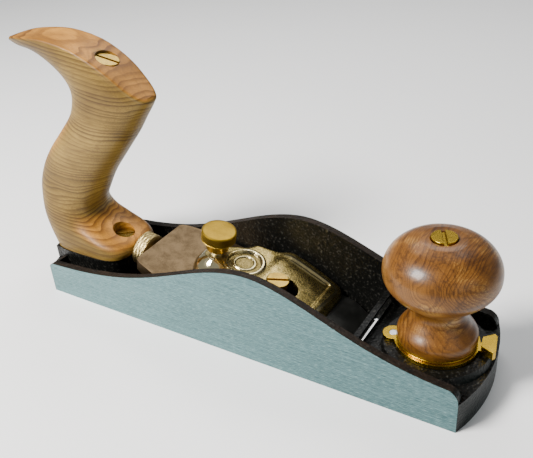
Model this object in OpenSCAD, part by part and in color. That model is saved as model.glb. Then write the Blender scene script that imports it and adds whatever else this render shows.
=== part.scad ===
// Low-angle smoothing plane with an adjustable mouth. Millimetres, +X to the toe, +Z up.
// The origin lies on the sole, at mid length and mid width.

/* [Casting] */
// Overall length of the casting along the middle
body_l = 255; // [254:1:257]
// Width of the casting over the two ground cheeks
body_w = 62.5; // [62:0.5:63.5]
// How far the toe curves out ahead of its corners
toe_bulge = 6; // [5:0.5:7]
// How far the heel curves out behind its corners
heel_bulge = 7.5; // [6:0.5:8]
// Thickness of each cheek
wall_t = 4.25; // [4:0.25:4.5]
// Thickness of the sole between the cheeks
sole_t = 5; // [4:0.5:6]
// Height of the cheeks far from the hump
wall_low = 19.4; // [18.5:0.1:20]
// Height that the hump adds at its crest
wall_rise = 30.6; // [26:0.2:32]
// Place of the hump's crest along the sole
hump_x = 16; // [10:1:22]
// Reach of the hump towards the heel
hump_rear = 64; // [60:1:66]
// Reach of the hump towards the toe
hump_front = 59.5; // [56:0.5:61]
// Height of the pad that carries the tote
pad_z = 23; // [22:0.5:24]

/* [Iron] */
// Angle of the bed above the sole
bed_angle = 12; // [12:0.5:12.5]
// Place of the cutting edge along the sole
edge_x = 59.5; // [59:0.5:60]
// Width of the iron
iron_w = 50.8; // [50:0.1:51]
// Thickness of the iron
iron_t = 6.35; // [6:0.05:6.4]
// Length of the iron
iron_l = 124.7; // [124:0.1:125]
// Angle of the ground bevel on the iron's upper face
bevel_angle = 25; // [23:1:35]

/* [Mouth] */
// Opening between the edge of the iron and the mouth plate
mouth_gap = 1.8; // [1.6:0.1:2.2]
// Length of the sliding mouth plate
plate_l = 47.7; // [46:0.1:48]
// Thickness of the sliding mouth plate
plate_t = 8.9; // [8:0.1:9]
// Travel of the mouth plate for one degree of lever swing
cam_rate = 0.096; // [0.08:0.002:0.1]
// Furthest swing of the lever that closes the mouth, in degrees
swing_shut = 15; // [10:1:16]
// Furthest swing of the lever that opens the mouth, in degrees
swing_open = 22; // [18:1:23]

/* [Front knob] */
// Place of the knob's axis along the sole
knob_x = 100.8; // [100:0.2:101]
// Height of the knob's flat top
knob_top = 76.4; // [74:0.2:77]
// Largest radius of the knob's head
knob_r = 26; // [24:0.5:27]

/* [Lever cap] */
// Distance from the cutting edge back to the cap screw
cap_screw_s = 48.5; // [48:0.5:49]
// Half width of the cap's broad front
cap_half = 24.6; // [23:0.2:25]
// Height of the cap's crest above the bed
cap_crest = 20.6; // [20.2:0.1:21]
// Distance that the cap slides back to clear its screw
cap_travel = 5.7; // [5.5:0.1:6]

/* [Tote] */
// Height of the horn above the sole
tote_top = 145; // [143:0.5:146]
// Half width of the tote where it meets its pad
tote_foot_half = 20.3; // [19:0.1:20.5]

/* [Hidden] */
$fn = 64;
eps = 0.01;
half_l = body_l / 2;
half_w = body_w / 2;
channel_half = half_w - wall_t;
step = 4;

// Places along the sole
heel_corner = -half_l + heel_bulge;
toe_corner = half_l - toe_bulge;
heel_block_x = -116;
rib_x = 64.5;
rib_t = 3;
rib_top = 20;
pocket_x = 77;
pocket_floor = 12;
deck_floor = 9.3;
deck_top = 16;
boss_top = 19.8;
boss_r = 24.5;
end_round = 4;
wall_slope = 0.009;
hump_power = 1.86;
mouth_lip = 1.2;
mouth_half = 26.2;
bed_gap = 0.05;

// The mouth lever and the knob's stack
lever_t = 2.2;
lever_z = boss_top + 0.2;
lever_r = 19.5;
washer_r = 18.4;
washer_t = 1;
washer_z = lever_z + lever_t + 0.05;
knob_z = washer_z + washer_t;
pin_x = 81.5;
pin_y = -5;
pin_r = 2;
bolt_r = 4;
run_gap = 0.05;
slot_gap = 0.3;
knob_slot = [-2.4, 2.8];
ear_r = 5;
tab_turn = -3;
nut_r = 5.8;
nut_t = 2.8;
barrel_r = 4.9;

// Radius that rounds the cheeks down at the toe
toe_round_r = 6;

// The adjuster, measured in the bed's frame: along the bed and square to it
adj_drop = -4;
wheel_back = -136.5;
wheel_front = -128.2;
wheel_r = 10;
spindle_r = 3;
spindle_end = -94;
boss_back = -119;
boss_front = -111;
collar_t = 1.3;
collar_r = 3.9;
traveller = [-105, -97];
peg_x = -101;
peg_h = 4.5;

// The cap and its thumbscrew, in the bed's frame
crest_s = -65;
crest_bend = 0.005;
seat_z = 16;
cap_head_r = 5.6;
cap_shank_r = 3.2;
key_r = 6.2;
thumb_s = -86.3;
thumb_r = 9.25;
thumb_top = 33;
thumb_knurl = 6;
thumb_neck_r = 6;
thumb_foot = iron_t + 0.1;
stud_r = 3.9;

// The tote's rod leans forward from its pad
rod_x = -119;
rod_tilt = 21;
rod_r = 3;
rod_l = 108;
rod_sink = 12;
tote_nut_s = 120;
tote_nut_r = 6;
toe_screw_x = -87;
toe_sink_r = 6.1;
toe_seat = 27.5;

// Cubic curve through points given as [place, value], for outlines that flow
function span(t, p, i = 0) = (i >= len(p) - 2 || t <= p[i + 1][0]) ? i : span(t, p, i + 1);
function lean(p, i) = let (a = max(i - 1, 0), b = min(i + 1, len(p) - 1))
    (p[b][1] - p[a][1]) / (p[b][0] - p[a][0]);
function curve(t, p) = let (
    i = span(t, p), h = p[i + 1][0] - p[i][0], u = (t - p[i][0]) / h,
    a = lean(p, i) * h, b = lean(p, i + 1) * h, rise = p[i + 1][1] - p[i][1])
    p[i][1] + u * (a + u * (3 * rise - 2 * a - b + u * (a + b - 2 * rise)));

// Superellipse outline: flatter sides and rounder corners as the power grows
function oval(cx, a, b, power, n = 28) = [for (k = [0 : n - 1]) let (t = 360 * (k + 0.5) / n)
    [cx + a * sign(cos(t)) * pow(abs(cos(t)), 2 / power), b * sign(sin(t)) * pow(abs(sin(t)), 2 / power)]];

// Top edge of a cheek: a level, slightly rising line with one broad hump
function wall_top(x) = wall_low + wall_slope * x + wall_rise
    * exp(-pow(abs(x - hump_x) / (x < hump_x ? hump_rear : hump_front), hump_power));

function bed_z(x) = (edge_x - x) * tan(bed_angle);

// Puts its children in the bed's frame: x runs down the bed to the cutting edge, z stands square to it
module on_bed() {
    translate([edge_x, 0, 0]) rotate([0, bed_angle, 0]) children();
}

// Extrudes an outline drawn in x and z across the plane, to the given half width
module across(half) {
    translate([0, half, 0]) rotate([90, 0, 0]) linear_extrude(2 * half) children();
}

module box(x0, x1, half, z0, z1) {
    translate([x0, -half, z0]) cube([x1 - x0, 2 * half, z1 - z0]);
}

// A rod along the bed, at the height of the adjuster's axis
module along_bed(x0, x1, r) {
    translate([x0, 0, adj_drop]) rotate([0, 90, 0]) cylinder(h = x1 - x0, r = r);
}

// ---- casting ----

function end_radius(bulge) = (half_w * half_w + bulge * bulge) / (2 * bulge);

// Outline of the sole: straight cheeks with a curved toe and heel
module sole_outline() {
    translate([heel_corner, -half_w]) square([toe_corner - heel_corner, body_w]);
    for (end = [[1, toe_bulge], [-1, heel_bulge]]) intersection() {
        translate([end[0] * (half_l - end_radius(end[1])), 0]) circle(r = end_radius(end[1]), $fn = 256);
        translate([end[0] * (half_l - 10), 0]) square([30, body_w], center = true);
    }
}

// Side view of the cheeks, with both ends rounded over
module cheek_profile() {
    first = heel_corner + end_round - 0.7;
    last = toe_corner - toe_round_r;
    toe_round = [for (t = [0 : 15 : 90]) [last + toe_round_r * sin(t), deck_top + (wall_top(last) - deck_top) * cos(t)]];
    heel_round = [for (t = [90 : -22.5 : 0])
        [first - end_round * sin(t), wall_top(first) - end_round + end_round * cos(t)]];
    polygon(concat(
        [[-half_l, 0], [-half_l, wall_top(first) - end_round]],
        heel_round,
        [for (x = [first + step : step : last - 1]) [x, wall_top(x)]],
        toe_round,
        [[half_l, deck_top], [half_l, 0]]));
}

module pad_outline() {
    polygon(oval(-103.5, 25.7, 21, 4));
    translate([-half_l, -19.5]) square([24, 39]);
}

// Ramp, cross rib and boss that carry the iron, all cut to the bed's slope
module bed() {
    ramp_back = 6;
    lip_x = edge_x - mouth_lip / tan(bed_angle);
    for (s = [[ramp_back, lip_x], [-24, -18]]) across(channel_half)
        polygon([[s[0], 1], [s[1], 1], [s[1], bed_z(s[1]) - bed_gap], [s[0], bed_z(s[0]) - bed_gap]]);
    difference() {
        on_bed() translate([boss_back, -9, -19]) cube([boss_front - boss_back, 18, 19 - bed_gap]);
        box(-60, -40, 12, -10, 1);
    }
}

module body() color("darkslategray") difference() {
    union() {
        difference() {
            intersection() {
                linear_extrude(wall_low + wall_rise + 2) sole_outline();
                across(half_w) cheek_profile();
            }
            box(heel_block_x, rib_x, channel_half, sole_t, 80);
            box(rib_x - 1, pocket_x, channel_half, pocket_floor, 80);
            box(pocket_x - 1, half_l + 1, channel_half, deck_top, 80);
        }
        intersection() {
            linear_extrude(pad_z) pad_outline();
            linear_extrude(pad_z) sole_outline();
        }
        bed();
        box(rib_x, rib_x + rib_t, channel_half, deck_floor, rib_top);
        intersection() {
            translate([knob_x, 0, deck_floor]) cylinder(h = boss_top - deck_floor, r1 = boss_r + 3, r2 = boss_r);
            box(70, half_l, channel_half, deck_floor, 30);
            linear_extrude(30) sole_outline();
        }
    }
    // mouth, and the pocket that the plate slides in
    box(edge_x - mouth_lip / tan(bed_angle), rib_x + 1, mouth_half, -1, deck_floor);
    box(rib_x, edge_x + mouth_gap + plate_l + 2.6, mouth_half, -1, deck_floor);
    on_bed() translate([-45, -channel_half, -bed_gap]) cube([50, 2 * channel_half, 20]);
    // slot for the knob's bolt
    for (x = knob_slot) translate([knob_x + x, 0, 0]) cylinder(h = 30, r = bolt_r + slot_gap);
    box(knob_x + knob_slot[0], knob_x + knob_slot[1], bolt_r + slot_gap, 0, 30);
    translate([pin_x, pin_y, deck_floor + 1]) cylinder(h = 20, r = pin_r);
    // bearing of the adjuster's screw and thread of the cap screw
    on_bed() along_bed(boss_back - 1, boss_front + 1, spindle_r + run_gap);
    on_bed() translate([-cap_screw_s, 0, -8.5]) cylinder(h = 20, r = cap_shank_r + run_gap);
    // threads of the tote's rod and toe screw
    on_rod() translate([0, 0, -rod_sink]) cylinder(h = rod_sink + 5, r = rod_r);
    translate([toe_screw_x, 0, 11]) cylinder(h = 20, r = 2.5);
}

// ---- adjustable mouth and front knob ----

module mouth_plate() color("slategray") {
    back = edge_x + mouth_gap;
    difference() {
        across(mouth_half - 0.1) polygon([[back, 0], [back + plate_l, 0], [back + plate_l, plate_t],
                                          [back + 6, plate_t], [back, 2]]);
        translate([knob_x, 0, 3]) cylinder(h = 10, r = bolt_r + run_gap);
    }
}

// Path of the bolt's centre as the swinging lever sees it, measured from the pivot pin
function cam_point(swing) = let (dx = knob_x + cam_rate * swing - pin_x, dy = -pin_y)
    [dx * cos(swing) + dy * sin(swing), -dx * sin(swing) + dy * cos(swing)];

module cam_slot() {
    reach = bolt_r + slot_gap;
    swings = [-swing_shut - 1 : 1 : swing_open + 1];
    side = function (s, sgn) let (a = cam_point(s), d = cam_point(s + 0.1) - cam_point(s - 0.1))
        a + sgn * reach * [-d[1], d[0]] / norm(d);
    polygon(concat([for (s = swings) side(s, 1)],
                   [for (s = [swing_open + 1 : -1 : -swing_shut - 1]) side(s, -1)]));
    for (s = [-swing_shut - 1, swing_open + 1]) translate(cam_point(s)) circle(r = reach);
}

// Flared thumb tab, drawn along the line from the pivot pin through the knob
module tab_outline(neck, flare) {
    polygon([[37, -neck], [39.5, -neck], [45.2, -flare], [46.4, -flare + 1.5], [46.4, flare - 1.5],
             [45.2, flare], [39.5, neck], [37, neck]]);
}

module mouth_lever() color("goldenrod") translate([pin_x, pin_y, lever_z]) {
    aim = atan2(-pin_y, knob_x - pin_x);
    linear_extrude(lever_t) difference() {
        union() {
            circle(r = ear_r);
            translate([knob_x - pin_x, -pin_y]) circle(r = lever_r);
            rotate(aim) translate([0, -4]) square([12, 8]);
            rotate(aim + tab_turn) tab_outline(3, 5);
        }
        circle(r = pin_r + run_gap);
        cam_slot();
    }
    rotate(aim + tab_turn) translate([0, 0, lever_t - 1]) linear_extrude(4) difference() {
        tab_outline(3, 7);
        translate([30, -10]) square([10, 20]);
    }
}

module lever_pivot_pin() color("silver")
    translate([pin_x, pin_y, deck_floor + 1]) cylinder(h = lever_z + lever_t - deck_floor - 1, r = pin_r);

// Radius of the knob at each height above its foot
knob_shape = [[0, 0.69], [2.6, 0.71], [5.6, 0.69], [9.8, 0.56], [14.8, 0.445], [18.8, 0.475], [23, 0.65],
              [27.4, 0.84], [31.8, 0.965], [35.9, 1], [41, 0.97], [46, 0.85], [50, 0.645], [52.55, 0.36]];

module knob() color("sienna") translate([knob_x, 0, knob_z]) {
    tall = knob_top - knob_z;
    top = knob_shape[len(knob_shape) - 1][0];
    rings = 36;
    difference() {
        rotate_extrude() polygon(concat([[0, 0]],
            [for (k = [0 : rings]) let (t = top * k / rings) [knob_r * curve(t, knob_shape), t * tall / top]],
            [[0, tall]]));
        translate([0, 0, -1]) cylinder(h = tall + 2, r = bolt_r + 0.2);
        translate([0, 0, tall - 14]) cylinder(h = 20, r = barrel_r + 0.1);
        translate([0, 0, tall - nut_t + 1]) cylinder(h = 20, r = nut_r + 0.1);
    }
}

module knob_washer() color("gold") translate([knob_x, 0, washer_z]) difference() {
    cylinder(h = washer_t - 0.05, r = washer_r);
    translate([0, 0, -1]) cylinder(h = 5, r = bolt_r + 0.2);
}

module knob_bolt() color("silver") translate([knob_x, 0, 3]) cylinder(h = knob_top - 3 - 4, r = bolt_r);

// Slotted nut with a barrel: the head's top is at z = 0
module slotted_nut(head_r, head_t, shank_r, shank_l, bore_r, slot_turn) {
    difference() {
        union() {
            translate([0, 0, -head_t]) cylinder(h = head_t, r = head_r);
            translate([0, 0, -shank_l]) cylinder(h = shank_l - head_t + eps, r = shank_r);
        }
        translate([0, 0, -shank_l - 1]) cylinder(h = shank_l - 3, r = bore_r);
        rotate(slot_turn) translate([-head_r - 1, -0.8, -1.4]) cube([2 * head_r + 2, 1.6, 2]);
    }
}

module knob_nut() color("gold") translate([knob_x, 0, knob_top + 1])
    slotted_nut(nut_r, nut_t, barrel_r, 14, bolt_r, 116);

// ---- tote ----

module on_rod() {
    translate([rod_x, 0, pad_z]) rotate([0, rod_tilt, 0]) children();
}

// Back edge and front edge of the tote, as [height, place along the sole]
tote_back = [[23, -129], [34, -135.5], [45, -138.5], [62, -137.6], [78, -128.9], [94, -113.9], [106, -103.5],
             [118, -101.4], [130, -113.8], [136, -124.5], [139, -132.5], [140, -138.5], [141, -144], [146, -158]];
tote_front = [[23, -76.6], [26, -76], [29, -78], [32, -85], [36, -94.5], [40, -99.8], [44, -101.6], [50, -99.8],
              [56, -96.2], [70, -87], [85, -74.6], [100, -62.5], [117, -50.9], [146, -40]];
// Half width and squareness of the tote, as [height, value]
tote_half = [[23, tote_foot_half], [30, tote_foot_half - 0.8], [38, 17.8], [48, 15.8], [60, 14.6], [80, 14],
             [100, 13.8], [117, 13.4], [146, 12.2]];
tote_power = [[23, 4], [32, 3.2], [45, 2.6], [60, 2.35], [117, 2.4], [146, 2.8]];

// Stack of ovals from the pad to above the horn
module tote_grip() {
    n = 28;
    levels = concat([for (z = [23 : 3 : 41]) z], [for (z = [45 : 5 : 135]) z], [137.5, 139, 140, 141, 146]);
    rings = [for (z = levels) let (b = curve(z, tote_back), f = curve(z, tote_front))
        [for (q = oval((b + f) / 2, (f - b) / 2, curve(z, tote_half), curve(z, tote_power), n)) [q[0], q[1], z]]];
    m = len(rings);
    polyhedron(
        points = [for (r = rings) each r],
        faces = concat(
            [[for (k = [0 : n - 1]) k]],
            [[for (k = [n - 1 : -1 : 0]) (m - 1) * n + k]],
            [for (i = [0 : m - 2], k = [0 : n - 1]) let (k2 = (k + 1) % n)
                [i * n + k, (i + 1) * n + k, (i + 1) * n + k2, i * n + k2]]));
}

// Side view of the facet on top: it arches from the front edge back to the horn's tip
module facet_profile() {
    polygon([[-150, 20], [-30, 20], [-45, 108], [-50.9, 117], [-60.1, 124], [-68.7, 130.9], [-79.3, 137.2],
             [-91.3, 142], [-107.7, tote_top], [-121.7, tote_top - 0.4], [-135.9, 142.9], [-141.2, 140.3],
             [-150, 132]]);
}

module tote() color("burlywood") difference() {
    intersection() {
        tote_grip();
        across(25) facet_profile();
    }
    on_rod() translate([0, 0, -8]) cylinder(h = 140, r = rod_r + 0.4);
    on_rod() translate([0, 0, tote_nut_s - 24]) cylinder(h = 40, r = 4.6);
    on_rod() translate([0, 0, tote_nut_s - 4]) cylinder(h = 40, r = tote_nut_r + 0.2);
    translate([toe_screw_x, 0, 10]) cylinder(h = 30, r = 2.9);
    translate([toe_screw_x, 0, toe_seat]) cylinder(h = 30, r = toe_sink_r);
}

module tote_rod() color("silver") on_rod() translate([0, 0, -rod_sink]) cylinder(h = rod_sink + rod_l, r = rod_r);

module tote_nut() color("gold") on_rod() translate([0, 0, tote_nut_s])
    slotted_nut(tote_nut_r, 3.9, 4.5, 23, rod_r, 20);

module tote_toe_screw() color("gold") translate([toe_screw_x, 0, 0]) difference() {
    union() {
        translate([0, 0, toe_seat]) cylinder(h = 3, r = 5.5);
        translate([0, 0, 12]) cylinder(h = toe_seat - 12 + eps, r = 2.5);
    }
    rotate(35) translate([-6, -0.7, toe_seat + 1.8]) cube([12, 1.4, 2]);
}

// ---- iron and its adjuster ----

module iron_outline() {
    half = iron_w / 2;
    polygon([[0, -half], [0, half], [-106, half], [-iron_l + 3.5, 21.8], [-iron_l + 1, 20.6], [-iron_l, 18.6],
             [-iron_l, -18.6], [-iron_l + 1, -20.6], [-iron_l + 3.5, -21.8], [-106, -half]]);
}

module iron() color("rosybrown") on_bed() difference() {
    intersection() {
        linear_extrude(iron_t) iron_outline();
        across(iron_w / 2) polygon([[0, 0], [-iron_l, 0], [-iron_l, iron_t], [-iron_t / tan(bevel_angle), iron_t]]);
    }
    for (s = [-40, -74]) translate([s, 0, -1]) cylinder(h = 20, r = 5.5);
    translate([-74, -5.5, -1]) cube([34, 11, 20]);
    translate([peg_x, 0, -1]) cylinder(h = 1 + peg_h + 0.1, r = spindle_r + run_gap);
}

module adjuster_nut() color("gold") on_bed() difference() {
    union() {
        translate([traveller[0], -6, -9]) cube([traveller[1] - traveller[0], 12, 8.7]);
        translate([peg_x, 0, -1]) cylinder(h = 1 + peg_h, r = spindle_r);
    }
    along_bed(traveller[0] - 1, traveller[1] + 1, spindle_r + run_gap);
}

module adjuster_screw() color("silver") on_bed() {
    along_bed(wheel_back, spindle_end, spindle_r);
    along_bed(boss_front + 0.1, boss_front + collar_t, collar_r);
}

module adjuster_wheel() color("gold") on_bed() difference() {
    union() {
        along_bed(wheel_back, wheel_front, wheel_r);
        along_bed(wheel_front - eps, boss_back - 0.1, collar_r);
    }
    along_bed(wheel_back - 1, boss_back, spindle_r);
}

// ---- lever cap ----

function cap_top(s) = cap_crest - crest_bend * (s - crest_s) * (s - crest_s);

module cap_profile() {
    nose = [[-20, iron_t + 0.05], [-20.2, 8.8], [-21.6, 11.2]];
    belly = [[-97.5, 9.5], [-90, 9], [-80, 11], [-72, 14.5], [-60, 14.4], [-45, 12.8], [-33, 10], [-26, 7.4],
             [-24.5, iron_t + 0.05]];
    polygon(concat(nose, [for (s = [-24 : -step : -96]) [s, cap_top(s)]], [[-98, 12]], belly));
}

// Top view: broad at the nose, waisted behind the shoulders, round about the thumbscrew
module cap_outline(inset = 0) {
    half = cap_half - inset;
    upper = [[-20 - inset, half - 1], [-24 - inset, half], [-51, half], [-55, half - 1.4], [-59.5, 19 - inset],
             [-66, 17.8 - inset], [-73, 16.8 - inset], [-78, 15 - inset]];
    around = [for (t = [100 : 20 : 260]) [thumb_s + (12 - inset) * cos(t), (12 - inset) * sin(t)]];
    polygon(concat(upper, around, [for (k = [len(upper) - 1 : -1 : 0]) [upper[k][0], -upper[k][1]]]));
}

module lever_cap() color("darkkhaki") on_bed() difference() {
    intersection() {
        across(26) cap_profile();
        linear_extrude(30) cap_outline();
    }
    // sunk panel and ring on the upper face
    intersection() {
        across(26) polygon(concat([for (s = [-20 : -step : -100]) [s, cap_top(s) - 1]], [[-100, 40], [-20, 40]]));
        linear_extrude(40) difference() {
            cap_outline(5);
            translate([-103, -30]) square([49, 60]);
        }
    }
    // keyhole: the head passes the wide end and bears beside the narrow end
    translate([-cap_screw_s + cap_travel, 0, 0]) cylinder(h = 40, r = key_r);
    translate([-cap_screw_s, 0, 0]) cylinder(h = 40, r = cap_shank_r + 0.4);
    translate([-cap_screw_s, -cap_shank_r - 0.4, 0]) cube([cap_travel, 2 * cap_shank_r + 0.8, 40]);
    translate([-cap_screw_s, 0, seat_z]) cylinder(h = 40, r = cap_head_r + 0.6);
    translate([-cap_screw_s, -cap_head_r - 0.6, seat_z]) cube([cap_travel, 2 * cap_head_r + 1.2, 40]);
    translate([thumb_s, 0, 0]) cylinder(h = 40, r = stud_r + run_gap);
}

module cap_screw() color("gold") on_bed() translate([-cap_screw_s, 0, 0]) difference() {
    union() {
        translate([0, 0, -8]) cylinder(h = seat_z + 8.2, r = cap_shank_r);
        translate([0, 0, seat_z + run_gap]) cylinder(h = 3.4, r = cap_head_r);
    }
    rotate(35) translate([-8, -0.8, seat_z + 2]) cube([16, 1.6, 4]);
}

module thumbscrew_head() color("gold") on_bed() translate([thumb_s, 0, 0]) difference() {
    union() {
        translate([0, 0, thumb_top - thumb_knurl]) cylinder(h = thumb_knurl, r = thumb_r);
        translate([0, 0, 21]) cylinder(h = thumb_top - 22, r = thumb_neck_r);
    }
    translate([0, 0, 20]) cylinder(h = 9, r = stud_r);
}

module thumbscrew_stud() color("silver") on_bed() translate([thumb_s, 0, thumb_foot])
    cylinder(h = 29 - thumb_foot, r = stud_r);

body();
mouth_plate();
mouth_lever();
lever_pivot_pin();
knob();
knob_washer();
knob_bolt();
knob_nut();
tote();
tote_rod();
tote_nut();
tote_toe_screw();
iron();
adjuster_nut();
adjuster_screw();
adjuster_wheel();
lever_cap();
cap_screw();
thumbscrew_head();
thumbscrew_stud();
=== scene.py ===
"""Looks of the low-angle smoothing plane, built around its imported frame."""

import logging
import math
from dataclasses import dataclass
from enum import Enum

import bmesh
import bpy
import numpy as np
from mathutils import Matrix, Vector


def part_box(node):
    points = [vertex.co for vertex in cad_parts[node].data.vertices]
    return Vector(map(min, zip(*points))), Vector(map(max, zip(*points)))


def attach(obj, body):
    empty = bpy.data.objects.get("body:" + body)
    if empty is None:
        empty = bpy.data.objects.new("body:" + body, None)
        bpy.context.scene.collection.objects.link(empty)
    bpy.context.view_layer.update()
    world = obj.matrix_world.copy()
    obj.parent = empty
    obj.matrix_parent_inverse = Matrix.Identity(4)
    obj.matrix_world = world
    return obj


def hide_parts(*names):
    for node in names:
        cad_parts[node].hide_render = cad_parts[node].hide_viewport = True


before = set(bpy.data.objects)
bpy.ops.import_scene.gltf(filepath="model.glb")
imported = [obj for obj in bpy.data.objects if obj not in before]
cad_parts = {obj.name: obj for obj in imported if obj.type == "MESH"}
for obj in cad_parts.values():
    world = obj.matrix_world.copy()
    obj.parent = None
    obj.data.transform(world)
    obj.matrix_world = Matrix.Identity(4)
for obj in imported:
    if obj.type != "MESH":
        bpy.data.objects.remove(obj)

LOG = logging.getLogger("plane")
MM = 0.001
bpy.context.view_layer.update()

# Vertices nearer than this, in metres, are one: on a new piece, and on a copy of a frame node
SEAM = 2e-6
NODE_SEAM = 1e-6
# Faces of a copy that turn by less than this many degrees lie in one plane
FLAT_ANGLE = 0.6
# Edges of a copy sharper than the first are left sharp, and sharper than the second are rounded
COPY_SHARP = 30.0
ROUND_ANGLE = 38.0
ROUND_STEPS = 3
# Place of the thumbscrew's axis along the bed, from the cutting edge
THUMB_AT = -86.3
# Height above the bed that is clear of the lever cap, where its cutters end
CLEAR = 40.0


class Body(Enum):
    """The bodies of the frame that pieces ride on."""

    CASTING = "casting"
    MOUTH_LEVER = "mouth_lever"
    MOUTH_PLATE = "mouth_plate"
    FRONT_KNOB = "front_knob"
    IRON = "iron"
    ADJUSTER = "adjuster"
    LEVER_CAP = "lever_cap"
    CAP_SCREW = "cap_screw"
    THUMBSCREW = "thumbscrew"


class Domain(Enum):
    """What the numbers of a mask belong to."""

    VERTEX = "POINT"
    FACE = "FACE"


# ---------------------------------------------------------------- shader maths


class Value:
    """A shader socket that takes part in Python arithmetic."""

    def __init__(self, graph: "Graph", socket: bpy.types.NodeSocket) -> None:
        """Wraps an output socket of a graph's tree."""
        self.graph = graph
        self.socket = socket

    def _maths(self, operation: str, *values: "Value | float") -> "Value":
        """Adds one Math node.

        Args:
            operation: the Math node's operation.
            values: its inputs, in order.

        Returns:
            The node's result.
        """
        made = self.graph.node("ShaderNodeMath", {"operation": operation}, dict(enumerate(values)))
        return Value(self.graph, made.outputs[0])

    def __add__(self, other: "Value | float") -> "Value":
        """Sum."""
        return self._maths("ADD", self, other)

    __radd__ = __add__

    def __sub__(self, other: "Value | float") -> "Value":
        """Difference."""
        return self._maths("SUBTRACT", self, other)

    def __rsub__(self, other: float) -> "Value":
        """Difference from a number."""
        return self._maths("SUBTRACT", other, self)

    def __mul__(self, other: "Value | float") -> "Value":
        """Product."""
        return self._maths("MULTIPLY", self, other)

    __rmul__ = __mul__

    def __truediv__(self, other: "Value | float") -> "Value":
        """Quotient."""
        return self._maths("DIVIDE", self, other)

    def __pow__(self, other: "Value | float") -> "Value":
        """Power."""
        return self._maths("POWER", self, other)

    def __abs__(self) -> "Value":
        """Size without sign."""
        return self._maths("ABSOLUTE", self)

    def fract(self) -> "Value":
        """Part after the decimal point."""
        return self._maths("FRACT", self)

    def root(self) -> "Value":
        """Square root."""
        return self._maths("SQRT", self)

    def most(self, other: "Value | float") -> "Value":
        """The larger of two."""
        return self._maths("MAXIMUM", self, other)

    def least(self, other: "Value | float") -> "Value":
        """The smaller of two."""
        return self._maths("MINIMUM", self, other)

    def ease(self, low: float, high: float, start: float = 0.0, end: float = 1.0) -> "Value":
        """Smooth step from start at low to end at high.

        Args:
            low: value at which the step begins.
            high: value at which it ends.
            start: result at and below low.
            end: result at and above high.

        Returns:
            The eased value.
        """
        node = self.graph.node(
            "ShaderNodeMapRange",
            {"interpolation_type": "SMOOTHSTEP"},
            {"Value": self, "From Min": low, "From Max": high, "To Min": start, "To Max": end},
        )
        return Value(self.graph, node.outputs[0])


Triple = tuple[float, float, float]
Colour = tuple[float, float, float]
Stops = tuple[tuple[float, Colour], ...]
Knots = tuple[tuple[float, float], ...]


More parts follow.
